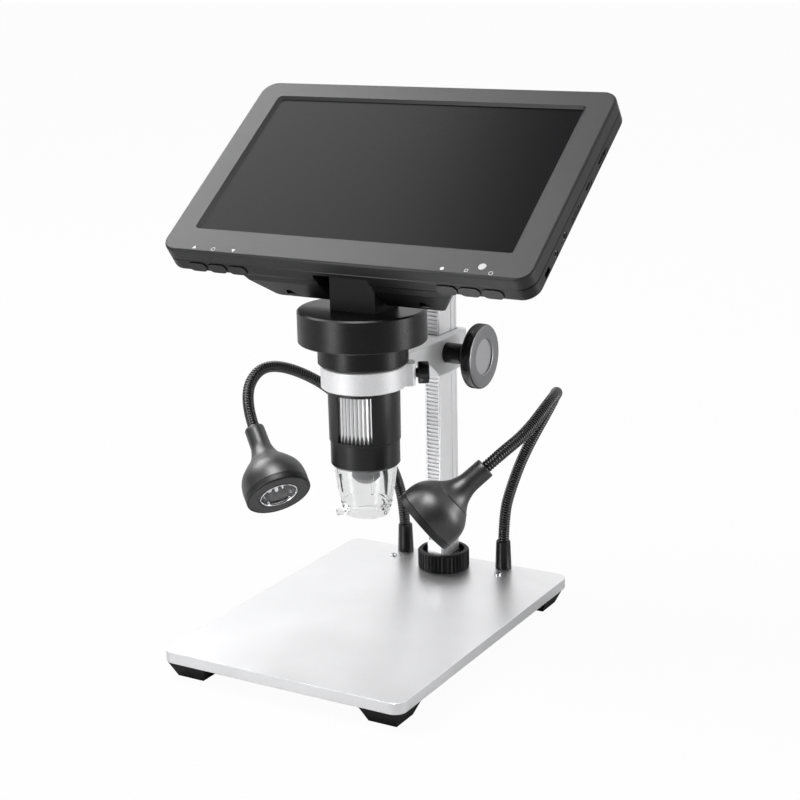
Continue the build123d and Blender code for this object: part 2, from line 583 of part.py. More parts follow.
def objective_lens():
    """Front lens seated in the tip of the nozzle."""
    disc = rod(0, 0, nozzle_z0 + 0.4, nozzle_z0 + 2.4, tip_bore - seat_fit)
    return on_head(disc & Pos(0, 0, nozzle_z0 + 0.4 + 7) * Sphere(7.0))


def sensor_board():
    """Round board with the image sensor looking down the barrel."""
    board = rod(0, 0, body_top, body_top + 1.4, cap_spigot - seat_fit)
    return on_head(board + block(-4, 4, -4, 4, body_top - 1.8, body_top))


def led_ring():
    """Ring board with eight light sources around the nozzle."""
    z1 = web_z0
    board = rod(0, 0, z1 - 1.2, z1, hood_r) - rod(0, 0, z1 - 3, z1 + 1, nozzle_r + 3.2)
    lamp = Pos((hood_r - hood_t + nozzle_r + 3.2) / 2, 0, z1 - 1.7) * Box(1.8, 1.8, 1.0)
    for i in range(8):
        board += Rot(0, 0, 45 * i + 22.5) * lamp
    return on_head(board)


def clear_hood():
    """Clear cup around the lens with fine lip rings, two side notches and a small tab."""
    top, tall, wide, low = web_z0 - 1.2, body_z0 - hood_z0, hood_r - hood_low_r, hood_low_r
    wall = [(0.63, 0.545), (0.316, 0.33), (0.24, 0.27)]
    lips = [(0.29, 0.25), (0.16, 0.215), (0.13, 0.175), (0.18, 0.155), (0.05, 0.12), (0.0, 0.094)]
    outer = [(low + wide * r, hood_z0 + tall * z) for r, z in wall + lips]
    inner = [(low + wide * r - hood_t, hood_z0 + tall * z) for r, z in reversed(wall[:2])]
    pts = [(hood_r, top), (hood_r, body_z0)] + outer + [(low - 0.9, hood_z0), (low - 1.8, hood_z0)]
    pts += [(low - hood_t, hood_z0 + tall * 0.1)] + inner
    pts += [(hood_r - hood_t, body_z0), (hood_r - hood_t, top)]
    cup = turned(pts)
    cup += Rot(0, 0, -45) * block(-1.5, 1.5, -low - 3.6, -low + 0.9, hood_z0 + 0.4, hood_z0 + 2.9)
    for a in (window_at - 38, window_at + 30):
        cup -= Rot(0, 0, a) * block(-0.5, 0.5, -20, -10, body_z0 - 11, body_z0 - 2.5)
    return on_head(cup)


def neck_block():
    """Block on the cap that carries the screen's hinge."""
    x0, x1 = neck_at - neck_x / 2, neck_at + neck_x / 2
    low = block(x0, x1, head_y - neck_y / 2, head_y + neck_y / 2, disc_z1, pivot_z)
    top = bar_x(head_y, pivot_z, x0, x1, neck_y / 2)
    ends = bar_x(head_y, pivot_z, -slot_half + 0.1, slot_half - 0.1, 5.0)
    neck = low + top + ends - bar_x(head_y, pivot_z, -40, 40, pin_r + run_fit)
    for x in neck_screw_x:
        neck -= rod(x, head_y, disc_z1 - 1, disc_z1 + 6.2, 1.25 + seat_fit)
    return neck


def neck_screws():
    """Screws from inside the cap up into the neck."""
    one = Rot(180, 0, 0) * screw(1.25, 2.2, 1.3, 7.6)
    return group(Pos(x, head_y, disc_z1 - cap_wall - 0.2) * one for x in neck_screw_x)


# ================================== screen housing ======================================
pivot_dy, pivot_dz = head_y - screen_y, pivot_z - screen_z
lean = radians(screen_tilt)
pivot_v = pivot_dy * sin(lean) + pivot_dz * cos(lean)
pivot_n = -pivot_dy * cos(lean) + pivot_dz * sin(lean)
rear_bosses = [(sx * (case_w / 2 - 5.4), v) for sx in (-1, 1) for v in (case_bottom + 13.5, case_top - 8.5)]


def case_block(n0, n1, inset=0.0):
    """Rounded plate with the outline of the case."""
    return slab(case_w - 2 * inset, case_bottom + inset, case_top - inset, n0, n1, case_r - inset)


def screen_bezel():
    """Front shell with the bevelled opening over the glass."""
    shell = case_block(seam_n, front_n)
    shell = fillet(shell.edges().group_by(Axis.Z)[-1], 1.2)
    shell = chamfer(shell.edges().group_by(Axis.Z)[0], seam_groove)
    shell -= case_block(seam_n - 1, 0.0, case_t)
    lo = Pos(0, 0, -0.02) * RectangleRounded(glass_w + 0.4, glass_h + 0.4, 0.8)
    hi = Pos(0, 0, front_n + 0.02) * RectangleRounded(glass_w + 4.2, glass_h + 2.4, 2.4)
    shell -= loft([lo, hi])
    for u, v in rear_bosses:
        shell += Pos(u, v, seam_n / 2) * Cylinder(3.2, -seam_n)
        shell -= Pos(u, v, seam_n) * Cylinder(1.25 + seat_fit, 8.0)
    return screen * (shell - Pos(*light_at, 0.75) * Cylinder(1.7 + seat_fit, 4.0))


def across_u(points, half):
    """Slab from (n, v) points, reaching both ways along the screen's width."""
    side = Plane(origin=(0, 0, 0), x_dir=(0, 0, 1), z_dir=(-1, 0, 0))
    return extrude(side * make_face(Polyline(*points, close=True)), half, both=True)


def hump_form(t):
    """Rear bulge, or with a wall thickness t the hollow inside it."""
    low, top = hump_low + t, hump_v_top - 1.6 * t
    deep = hump_n + t
    side = across_u([(back_n + 3, low), (hump_crease_n, low), (deep, hump_v + t), (deep, top - 9.0),
                     (back_n, top), (back_n + 3, top)], case_w)
    w0, w1 = hump_base_w / 2 - 1.3 * t, hump_top_w / 2 - 1.3 * t
    ends = Plane(origin=(0, -case_w, 0), x_dir=(1, 0, 0), z_dir=(0, 1, 0))
    outline = Polyline((-w0, -back_n - 3), (-w0, -back_n), (-w1, -deep), (w1, -deep), (w0, -back_n),
                       (w0, -back_n - 3), close=True)
    ends = extrude(ends * make_face(outline), 2 * case_w)
    corners = [e for e in ends.edges().filter_by(Axis.Y) if abs(e.center().Z - deep) < 0.01]
    return side & fillet(corners, hump_r - t)


def screen_rear():
    """Rear shell with the bulge, hinge slot, key openings and port openings."""
    shell = case_block(back_n, seam_n)
    shell = fillet(shell.edges().group_by(Axis.Z)[0], 2.2)
    shell = chamfer(shell.edges().group_by(Axis.Z)[-1], seam_groove)
    shell += hump_form(0)
    shell -= case_block(back_n + case_t, seam_n + 1, case_t)
    pin_wall = block(-pin_half - 2, pin_half + 2, hump_low, slot_v_top + 2, hump_n, back_n + case_t)
    shell -= hump_form(case_t) - pin_wall
    shell += block(-slot_half - 2, slot_half + 2, case_bottom + 1, slot_v_top + 2, back_n, slot_n + 1.6)
    shell -= block(-slot_half, slot_half, case_bottom - 5, slot_v_top, hump_n - 5, slot_n)
    shell -= bar_x(pivot_v, pivot_n, -pin_half, pin_half, pin_r + seat_fit)
    for u, v in rear_bosses:
        shell += Pos(u, v, (back_n + seam_n) / 2) * Cylinder(3.2, seam_n - back_n)
        shell -= Pos(u, v, back_n) * Cylinder(2.3, 5.0) + Pos(u, v, 0) * Cylinder(1.25 + 0.1, 60)
    for u in (-well_u, well_u):
        shell += Pos(u, well_v, hump_n + 5.0) * Cylinder(well_r + 1.4, 6.0) & hump_form(0)
        shell -= Pos(u, well_v, hump_n) * Cylinder(well_r, 12.0)
    for u, v in board_posts:
        shell += Pos(u, v, (back_n + case_t + board_n) / 2) * Cylinder(2.5, board_n - back_n - case_t)
    for u in key_centres:
        shell -= key_body(u, key_gap, -6.0, 1.0)
    for drop, n_w, v_w in port_places:
        v = case_top - drop
        shell -= block(case_w / 2 - port_deep - 0.1, case_w / 2 + 1, v - v_w / 2, v + v_w / 2,
                       port_n - n_w / 2, port_n + n_w / 2)
    for drop, r in jack_places:
        shell -= bar_x(case_top - drop, port_n, case_w / 2 - port_deep - 0.1, case_w / 2 + 1, r)
    low, edge = case_bottom + 11.5, case_w / 2
    return screen * (shell - block(edge - 1.2, edge + 1, low, low + 5.0, port_n - 1.3, port_n + 1.3))


def port_sockets():
    """Sockets, card slot and jacks behind the side openings."""
    solids = []
    x0, x1, g = case_w / 2 - port_deep, case_w / 2 - 0.4, seat_fit
    for drop, n_w, v_w in port_places:
        v, n0, n1 = case_top - drop, port_n - n_w / 2, port_n + n_w / 2
        body = block(x0, x1, v - v_w / 2 + g, v + v_w / 2 - g, n0 + g, n1 - g)
        hollow = block(x0 + 1, x1 + 1, v - v_w / 2 + 0.5, v + v_w / 2 - 0.5, n0 + 0.5, n1 - 0.5)
        solids.append(screen * (body - hollow))
    for drop, r in jack_places:
        v = case_top - drop
        solids.append(screen * (bar_x(v, port_n, x0, x1, r - g) - bar_x(v, port_n, x0 + 1, x1 + 1, r - 0.6)))
    return group(solids)


def hinge_pin():
    """Pin through the neck, fixed in the walls of the rear shell."""
    return screen * bar_x(pivot_v, pivot_n, -pin_half + 0.1, pin_half - 0.1, pin_r)


def screen_glass():
    """Cover glass behind the lip of the bezel."""
    return screen * slab(glass_w + 3.0, -glass_h / 2 - 1.5, glass_h / 2 + 1.5, -1.1, 0, 0.6)


def lcd_panel():
    """Display panel behind the glass."""
    low, top = case_bottom + panel_low, case_top - panel_top
    return screen * slab(case_w - 2 * panel_side, low, top, -4.6, -1.1, 0.6)


def main_board():
    """Main board, carried by four posts on the rear shell."""
    board = slab(2 * (post_u + board_lap), board_v0, board_v1, board_n, board_n + board_t, 1.0)
    chips = ((-20, 20, 14, 14, 1.6), (12, 18, 10, 10, 1.2), (38, 12, 8, 12, 1.4), (-44, 10, 12, 8, 2.0))
    for u, up, w, h, d in chips:
        board += Pos(u, board_v0 + up, board_n + board_t + d / 2) * Box(w, h, d)
    return screen * board


def battery():
    """Flat cell above the main board."""
    floor, top = back_n + case_t, case_top - cell_drop
    return screen * slab(case_w - 2 * cell_side, top - cell_h, top, floor, floor + cell_t, 3.0)


def key_body(u, grow, v0, v1):
    """Rounded key outline extruded through the bottom wall."""
    face = SlotOverall(key_w + 2 * grow, key_n + 2 * grow)
    plane = Plane(origin=(u, case_bottom, key_at_n), x_dir=(1, 0, 0), z_dir=(0, -1, 0))
    return plane * Pos(0, 0, v0) * extrude(face, v1 - v0)


def screen_key(u):
    """One key with the flange that keeps it inside the shell."""
    v0 = case_bottom + case_t
    half = key_w / 2 + 2 * key_gap
    flange = block(u - half, u + half, v0, v0 + key_flange, key_at_n - 1.5, key_at_n + 1.5)
    return screen * (key_body(u, 0, -case_t - key_flange, key_out) + flange)


def key_boards():
    """Narrow boards behind the keys with one switch for each."""
    v0 = case_bottom + case_t + key_flange + key_travel + 0.1
    boards = []
    for keys in (key_centres[:3], key_centres[3:]):
        board = block(keys[0] - 6, keys[2] + 6, v0 + 1.2, v0 + 2.4, back_n + case_t, back_n + case_t + 4.0)
        for u in keys:
            board += block(u - 1.6, u + 1.6, v0, v0 + 1.2, key_at_n - 1.2, key_at_n + 1.2)
        boards.append(screen * board)
    return group(boards)


def status_light():
    """Round indicator in the lower bezel."""
    return screen * Pos(*light_at, 0.8) * Cylinder(1.7, 1.6)


def case_screws():
    """Screws that join the two shells."""
    one = Rot(180, 0, 0) * screw(1.25, 2.1, 1.4, 6.5)
    return group(screen * Pos(u, v, back_n + 2.5) * one for u, v in rear_bosses)


# ===================================== write the parts ==================================
left_lamp = lamp_frame(-1, left_face, left_aim)
right_lamp = lamp_frame(1, right_face, right_aim)
parts = {
    "base_plate": base_plate(),
    "rubber_feet": rubber_feet(),
    "foot_screws": foot_screws(),
    "column": column(),
    "column_rack": column_rack(),
    "column_socket": column_socket(),
    "column_nut": column_nut(),
    "column_screws": column_screws(),
    "lamp_collars": lamp_collars(),
    "collar_screws": collar_screws(),
    "lamp_neck_lower_left": lamp_neck_lower(-1, left_low, left_high),
    "lamp_neck_lower_right": lamp_neck_lower(1, right_low, right_high),
    "lamp_neck_upper_left": lamp_neck_upper(-1, left_low, left_high, left_lamp),
    "lamp_neck_upper_right": lamp_neck_upper(1, right_low, right_high, right_lamp),
    "carriage_arm": carriage_arm(),
    "carriage_liner": carriage_liner(),
    "pinion_shaft": pinion_shaft(),
    "shaft_bushes": shaft_bushes(),
    "height_knob": height_knob(),
    "knob_insert": knob_insert(),
    "clamp_screw": clamp_screw(),
    "disc_housing": disc_housing(),
    "step_housing": step_housing(),
    "body_shell": body_shell(),
    "guide_tube": guide_tube(),
    "focus_ring": focus_ring(),
    "lens_barrel": lens_barrel(),
    "objective_lens": objective_lens(),
    "sensor_board": sensor_board(),
    "led_ring": led_ring(),
    "clear_hood": clear_hood(),
    "neck_block": neck_block(),
    "neck_screws": neck_screws(),
    "hinge_pin": hinge_pin(),
    "screen_bezel": screen_bezel(),
    "screen_rear": screen_rear(),
    "screen_glass": screen_glass(),
    "lcd_panel": lcd_panel(),
    "main_board": main_board(),
    "battery": battery(),
    "key_boards": key_boards(),
    "status_light": status_light(),
    "port_sockets": port_sockets(),
    "case_screws": case_screws(),
}
for side, frame in (("left", left_lamp), ("right", right_lamp)):
    parts["lamp_shell_" + side] = frame * lamp_shell()
    parts["lamp_bezel_" + side] = frame * lamp_bezel()
    parts["lamp_lens_" + side] = frame * lamp_lens()
    parts["lamp_reflector_" + side] = frame * lamp_reflector()
    parts["lamp_led_" + side] = frame * lamp_led()
for name, u in zip(("up", "ok", "down", "capture", "mode", "power"), key_centres):
    parts["key_" + name] = screen_key(u)

for name, part in parts.items():
    export_step(part, "parts/" + name + ".step")
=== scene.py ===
from math import cos, pi, radians, sin

import bpy
from mathutils import Matrix, Vector


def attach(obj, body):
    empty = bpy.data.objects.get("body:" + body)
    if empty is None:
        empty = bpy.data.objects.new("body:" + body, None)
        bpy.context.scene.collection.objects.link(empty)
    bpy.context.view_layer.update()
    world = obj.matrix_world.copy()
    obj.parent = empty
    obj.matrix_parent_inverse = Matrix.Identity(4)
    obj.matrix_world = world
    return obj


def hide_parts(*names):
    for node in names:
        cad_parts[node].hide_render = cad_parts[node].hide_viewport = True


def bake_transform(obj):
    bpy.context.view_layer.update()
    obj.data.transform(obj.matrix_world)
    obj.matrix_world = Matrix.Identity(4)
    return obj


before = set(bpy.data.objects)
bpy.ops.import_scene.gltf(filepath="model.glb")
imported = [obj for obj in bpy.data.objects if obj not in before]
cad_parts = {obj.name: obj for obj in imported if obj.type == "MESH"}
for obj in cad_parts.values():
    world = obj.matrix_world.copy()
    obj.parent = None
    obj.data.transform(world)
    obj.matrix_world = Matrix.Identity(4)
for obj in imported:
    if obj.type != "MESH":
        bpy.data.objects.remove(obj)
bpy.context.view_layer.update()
bpy.context.scene.view_settings.view_transform = "Standard"

# ---------------------------------------------------------------------------------------
# Camera: a studio lens on a stand at the user's right hand, a little above the screen. It
# leans about a degree to one side.
# ---------------------------------------------------------------------------------------
azimuth, elevation, roll = radians(30.241), radians(15.146), radians(-1.184)
bpy.ops.object.select_all(action="DESELECT")
bpy.ops.object.camera_add()
camera = bpy.context.object
camera.name = "studio_camera"
camera.data.lens = 76.665
camera.data.sensor_width = 36.0
towards = Vector((sin(azimuth) * cos(elevation), -cos(azimuth) * cos(elevation), sin(elevation)))
level = (-towards).cross(Vector((0, 0, 1))).normalized()
up = level.cross(-towards)
across = level * cos(roll) + up * sin(roll)
upward = up * cos(roll) - level * sin(roll)
camera.matrix_world = Matrix((across, upward, towards)).transposed().to_4x4()
camera.location = (0.377393, -0.620562, 0.308934)
bpy.context.scene.camera = camera

# ---------------------------------------------------------------------------------------
# Floor: a pale painted table, wide enough to run out of sight. It shows nearly white and
# keeps the shadow of the stand.
# ---------------------------------------------------------------------------------------
bpy.ops.mesh.primitive_plane_add(size=14.0, location=(0, 0, 0))
floor = bpy.context.object
floor.name = "floor"
floor_paint = bpy.data.materials.new("floor_paint")
floor.data.materials.append(floor_paint)
floor_paint.use_nodes = True
nodes, links = floor_paint.node_tree.nodes, floor_paint.node_tree.links
nodes["Principled BSDF"].inputs["Base Color"].default_value = (0.86, 0.86, 0.86, 1)
nodes["Principled BSDF"].inputs["Roughness"].default_value = 0.8
nodes["Principled BSDF"].inputs["Specular IOR Level"].default_value = 0.0
lit_table = nodes.new("ShaderNodeEmission")
lit_table.inputs["Color"].default_value = (1, 1, 1, 1)
ray = nodes.new("ShaderNodeLightPath")
white_share = nodes.new("ShaderNodeMath")
white_share.operation = "MULTIPLY"
white_share.inputs[1].default_value = 0.96
links.new(ray.outputs["Is Camera Ray"], white_share.inputs[0])
table_mix = nodes.new("ShaderNodeMixShader")
links.new(white_share.outputs[0], table_mix.inputs["Fac"])
links.new(nodes["Principled BSDF"].outputs[0], table_mix.inputs[1])
links.new(lit_table.outputs[0], table_mix.inputs[2])
links.new(table_mix.outputs[0], nodes["Material Output"].inputs["Surface"])

# ---------------------------------------------------------------------------------------
# Studio: a white cyclorama behind the stand and a dark room in front of it, which the gloss
# of plastic and metal shows. A large key panel at the upper left does the lighting. Two
# shine panels and two upright strips only show in gloss.
# ---------------------------------------------------------------------------------------
room = bpy.data.worlds.new("studio")
bpy.context.scene.world = room
room.use_nodes = True
nodes, links = room.node_tree.nodes, room.node_tree.links
nodes["Background"].inputs["Color"].default_value = (1, 1, 1, 1)
heading = nodes.new("ShaderNodeTexCoord")
parts_of = nodes.new("ShaderNodeSeparateXYZ")
links.new(heading.outputs["Generated"], parts_of.inputs[0])
sweep = nodes.new("ShaderNodeMapRange")
sweep.interpolation_type = "SMOOTHSTEP"
sweep.inputs["From Min"].default_value = -0.45
sweep.inputs["From Max"].default_value = 0.35
sweep.inputs["To Min"].default_value = 0.06
sweep.inputs["To Max"].default_value = 1.0
links.new(parts_of.outputs["Y"], sweep.inputs["Value"])
ray = nodes.new("ShaderNodeLightPath")
gloss_level = nodes.new("ShaderNodeMix")
gloss_level.inputs["A"].default_value = 0.50
links.new(ray.outputs["Is Glossy Ray"], gloss_level.inputs["Factor"])
links.new(sweep.outputs[0], gloss_level.inputs["B"])
seen = nodes.new("ShaderNodeMath")
seen.operation = "MAXIMUM"
links.new(ray.outputs["Is Camera Ray"], seen.inputs[0])
links.new(ray.outputs["Is Transmission Ray"], seen.inputs[1])
level_mix = nodes.new("ShaderNodeMix")
level_mix.inputs["B"].default_value = 1.0
links.new(seen.outputs[0], level_mix.inputs["Factor"])
links.new(gloss_level.outputs["Result"], level_mix.inputs["A"])
links.new(level_mix.outputs["Result"], nodes["Background"].inputs["Strength"])

for panel, place, aim_height, width, height, power, lights_up, shines in (
        ("key_panel", (-0.84, -0.29, 1.17), 0.15, 0.90, 0.85, 12.0, True, False),
        ("key_shine", (-0.93, 0.11, 1.13), 0.15, 0.90, 0.85, 18.0, False, True),
        ("top_shine", (0.05, -0.275, 0.80), 0.07, 0.40, 0.36, 6.4, False, True),
        ("left_strip", (-0.167, -0.422, 0.15), 0.15, 0.14, 0.29, 1.2, False, True),
        ("right_strip", (0.429, 0.132, 0.12), 0.12, 0.14, 0.23, 0.8, False, True)):
    bpy.ops.object.light_add(type="AREA", location=place)
    lamp = bpy.context.object
    lamp.name = panel
    lamp.data.shape = "RECTANGLE"
    lamp.data.size, lamp.data.size_y = width, height
    lamp.data.energy = power
    lamp.visible_diffuse = lights_up
    lamp.visible_glossy = shines
    lamp.visible_camera = False
    lamp.rotation_euler = (Vector((0, 0, aim_height)) - Vector(place)).to_track_quat("-Z", "Y").to_euler()


# ---------------------------------------------------------------------------------------
# Base plate: 5 mm aluminium, bead blasted and clear anodised, with a bright machined edge.
# It stands on four moulded rubber feet, held by zinc-plated screws from below.
# ---------------------------------------------------------------------------------------
def finish(name, colour, rough, grain, bump, metal=0.0, spread=0.06, tone=0.0, gloss=0.5,
           stretch=(1, 1, 1)):
    """Finish with a grain: cells per metre, bump strength, spread of roughness and tone."""
    paint = bpy.data.materials.new(name)
    paint.use_nodes = True
    nodes, links = paint.node_tree.nodes, paint.node_tree.links
    shader = nodes["Principled BSDF"]
    shader.inputs["Metallic"].default_value = metal
    shader.inputs["Specular IOR Level"].default_value = gloss
    where = nodes.new("ShaderNodeTexCoord")
    place = nodes.new("ShaderNodeMapping")
    place.inputs["Scale"].default_value = stretch
    links.new(where.outputs["Object"], place.inputs["Vector"])
    fine = nodes.new("ShaderNodeTexNoise")
    fine.name = "grain"
    fine.inputs["Scale"].default_value = grain
    fine.inputs["Detail"].default_value = 3.0
    links.new(place.outputs[0], fine.inputs["Vector"])
    cloud = nodes.new("ShaderNodeTexNoise")
    cloud.inputs["Scale"].default_value = 26.0
    cloud.inputs["Detail"].default_value = 2.0
    links.new(where.outputs["Object"], cloud.inputs["Vector"])
    mottle = nodes.new("ShaderNodeMath")
    mottle.operation = "ADD"
    links.new(fine.outputs["Fac"], mottle.inputs[0])
    links.new(cloud.outputs["Fac"], mottle.inputs[1])
    shade = nodes.new("ShaderNodeMapRange")
    shade.inputs["From Min"].default_value = 0.7
    shade.inputs["From Max"].default_value = 1.3
    links.new(mottle.outputs[0], shade.inputs["Value"])
    colours = nodes.new("ShaderNodeMix")
    colours.name = "colours"
    colours.data_type = "RGBA"
    colours.inputs["A"].default_value = tuple(c * (1 - tone) for c in colour) + (1,)
    colours.inputs["B"].default_value = tuple(min(1, c * (1 + tone)) for c in colour) + (1,)
    links.new(shade.outputs[0], colours.inputs["Factor"])
    links.new(colours.outputs["Result"], shader.inputs["Base Color"])
    polish = nodes.new("ShaderNodeMapRange")
    polish.inputs["From Min"].default_value = 0.3
    polish.inputs["From Max"].default_value = 0.7
    polish.inputs["To Min"].default_value = max(0.02, rough - spread)
    polish.inputs["To Max"].default_value = rough + spread
    links.new(fine.outputs["Fac"], polish.inputs["Value"])
    links.new(polish.outputs[0], shader.inputs["Roughness"])
    relief = nodes.new("ShaderNodeBump")
    relief.inputs["Strength"].default_value = bump
    relief.inputs["Distance"].default_value = 0.0001
    links.new(fine.outputs["Fac"], relief.inputs["Height"])
    links.new(relief.outputs[0], shader.inputs["Normal"])
    return paint


def dress(paint, *names):
    """Give one finish to nodes of the frame."""
    for name in names:
        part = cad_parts[name]
        for slot in part.material_slots:
            slot.material = paint
        if not part.material_slots:
            part.data.materials.append(paint)


blasted_plate = finish("blasted_plate", (0.80, 0.80, 0.81), rough=0.36, grain=2600, bump=0.16, metal=1.0,
                       tone=0.05)
foot_rubber = finish("foot_rubber", (0.009, 0.009, 0.010), rough=0.60, grain=2200, bump=0.4, spread=0.08,
                     tone=0.2, gloss=0.2)
zinc_plate = finish("zinc_plate", (0.62, 0.62, 0.63), rough=0.28, grain=3000, bump=0.1, metal=1.0, tone=0.05)
dress(blasted_plate, "base_plate")
dress(foot_rubber, "rubber_feet")
dress(zinc_plate, "foot_screws")

# ---------------------------------------------------------------------------------------
# Column: a drawn aluminium bar with fine grooves down its sides, and a steel rack with
# straight teeth let into its front. It stands in a round blackened socket, and both are
# held by screws from below the plate.
# ---------------------------------------------------------------------------------------
drawn_bar = finish("drawn_bar", (0.95, 0.95, 0.96), rough=0.42, grain=1500, bump=0.12, metal=0.6,
                   spread=0.07, tone=0.04, stretch=(1, 1, 0.02))
milled_rack = finish("milled_rack", (0.86, 0.86, 0.87), rough=0.50, grain=2600, bump=0.15, metal=0.35,
                     tone=0.06)
blackened_casting = finish("blackened_casting", (0.008, 0.008, 0.009), rough=0.26, grain=1800, bump=0.1,
                           tone=0.1, gloss=0.4)
dress(drawn_bar, "column")
dress(milled_rack, "column_rack")
dress(blackened_casting, "column_socket")
dress(zinc_plate, "column_screws")

# ---------------------------------------------------------------------------------------
# Ring nut: a black moulding with forty ribs round its rim, screwed down over the column's
# socket.
# ---------------------------------------------------------------------------------------
nut_moulding = finish("nut_moulding", (0.004, 0.004, 0.005), rough=0.42, grain=1600, bump=0.1, spread=0.05,
                      tone=0.1, gloss=0.14)
dress(nut_moulding, "column_nut")

# ---------------------------------------------------------------------------------------
# Stem collars: tapered black sockets pressed into the plate near its back edge, with a
# small plated screw beside each.
# ---------------------------------------------------------------------------------------
satin_moulding = finish("satin_moulding", (0.008, 0.008, 0.009), rough=0.34, grain=2400, bump=0.12,
                        tone=0.1, gloss=0.35)
dress(satin_moulding, "lamp_collars")
dress(zinc_plate, "collar_screws")


# ---------------------------------------------------------------------------------------
# Lamp stems: two lengths of close-wound steel conduit, blackened and lacquered, each with
# its round turns showing. A stem stands in its collar and ends in the lamp's sleeve.
# The upper length, from its bend on, is a piece of its own.
# ---------------------------------------------------------------------------------------
mm = 0.001


def turned_piece(name, rings, sides):
    """Lathe work about Z. Rings are (radius, height) in mm, and a radius of 0 is a pole."""
    pole_radius, merge_within, crease = 0.002, 0.0045 * mm, radians(35)
    rings = [(max(radius, pole_radius) * mm, height * mm) for radius, height in rings]
    bpy.ops.object.select_all(action="DESELECT")
    bpy.ops.mesh.primitive_circle_add(vertices=sides, radius=rings[0][0], location=(0, 0, rings[0][1]))
    piece = bpy.context.object
    piece.name = name
    bpy.ops.object.transform_apply(location=True)
    bpy.ops.object.mode_set(mode="EDIT")
    bpy.ops.mesh.select_mode(type="VERT")
    bpy.ops.mesh.select_all(action="SELECT")
    for (r0, z0), (r1, z1) in zip(rings, rings[1:]):
        bpy.ops.mesh.extrude_region_move(TRANSFORM_OT_translate={"value": (0, 0, z1 - z0)})
        bpy.ops.transform.resize(value=(r1 / r0, r1 / r0, 1), center_override=(0, 0, 0))
    bpy.ops.mesh.select_all(action="SELECT")
    bpy.ops.mesh.remove_doubles(threshold=merge_within)
    bpy.ops.mesh.fill_holes(sides=0)
    bpy.ops.mesh.select_all(action="SELECT")
    bpy.ops.mesh.normals_make_consistent(inside=False)
    bpy.ops.object.mode_set(mode="OBJECT")
    bpy.ops.object.shade_smooth_by_angle(angle=crease)
    return piece


def clad(piece, paints, body, slot, *stands_for):
    """Finishes and body of a new piece, and the nodes that it stands for. The slot is not used."""
    for paint in paints:
        piece.data.materials.append(paint)
    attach(piece, body)
    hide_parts(*stands_for)


def wound_stem(name, line, first_turn, turns, pitch):
    """Part of a stem: one turn of the winding, repeated along the stem's line."""
    root, flank, shoulder, crown = 2.34, 2.52, 2.68, 2.70
    one_turn = [(root, 0.0), (flank, 0.12 * pitch), (shoulder, 0.32 * pitch), (crown, 0.5 * pitch),
                (shoulder, 0.68 * pitch), (flank, 0.88 * pitch), (root, pitch)]
    stem = turned_piece(name, one_turn, 24)
    bpy.ops.object.mode_set(mode="EDIT")
    bpy.ops.mesh.select_mode(type="FACE")
    bpy.ops.mesh.select_all(action="DESELECT")
    bpy.ops.object.mode_set(mode="OBJECT")
    for face in stem.data.polygons:
        face.select = len(face.vertices) > 4
    bpy.ops.object.mode_set(mode="EDIT")
    bpy.ops.mesh.delete(type="ONLY_FACE")
    bpy.ops.mesh.select_all(action="SELECT")
    bpy.ops.transform.translate(value=(0, 0, first_turn * pitch * mm))
    bpy.ops.object.mode_set(mode="OBJECT")
    repeat = stem.modifiers.new("turns", "ARRAY")
    repeat.count = turns
    repeat.use_relative_offset = False
    repeat.use_constant_offset = True
    repeat.constant_offset_displace = (0, 0, pitch * mm)
    repeat.use_merge_vertices = True
    repeat.merge_threshold = 0.02 * mm
    follow = stem.modifiers.new("line", "CURVE")
    follow.object = line
    follow.deform_axis = "POS_Z"
    bpy.ops.object.modifier_apply(modifier="turns")
    bpy.ops.object.modifier_apply(modifier="line")
    bpy.ops.object.mode_set(mode="EDIT")
    bpy.ops.mesh.select_all(action="SELECT")
    bpy.ops.mesh.fill_holes(sides=0)
    bpy.ops.mesh.select_all(action="SELECT")
    bpy.ops.mesh.normals_make_consistent(inside=False)
    bpy.ops.object.mode_set(mode="OBJECT")
    bpy.ops.object.shade_smooth_by_angle(angle=radians(50))
    return stem


# Each stem's foot in mm, its line's points and the middle of the lamp's face from there, the
# way the lamp points, and the share of the stem's length below its bend.
lamps = {
    "left": {
        "foot": (-27.3, 76.5, 12.8),
        "low": ((0, 0, 2.3), (0, 0, 20.1), (-3.7, -1.1, 39.6), (-9.6, -16.5, 68.1), (-23.6, -29.0, 88.4),
                (-31.3, -41.3, 98.0), (-37.1, -53.3, 103.5), (-40.6, -62.1, 103.6), (-41.4, -70.3, 98.5)),
        "high": ((-39.3, -75.5, 91.7),),
        "face": (-9.2, -96.7, 56.2), "aim": (0.623, -0.418, -0.661), "bent_from": 0.72},
    "right": {
        "foot": (27.3, 76.5, 12.8),
        "low": ((0, 0, 2.3), (0, 0, 26.2), (5.2, -0.5, 43.6), (13.0, -1.7, 62.1), (28.4, -5.2, 88.2),
                (32.4, -10.3, 94.2), (36.8, -18.5, 96.6)),
        "high": ((39.5, -33.7, 95.4), (39.2, -54.9, 87.7), (35.6, -72.8, 82.4)),
        "face": (9.3, -96.0, 54.1), "aim": (-0.600, -0.482, -0.638), "bent_from": 0.5}}
sleeve_mouth, stem_end, turn_pitch, bend_reach = 40.7 * mm, 31.5 * mm, 1.3, 6 * mm
wound_steel = finish("wound_steel", (0.006, 0.006, 0.007), rough=0.22, grain=1800, bump=0.08, tone=0.15,
                     gloss=0.6)
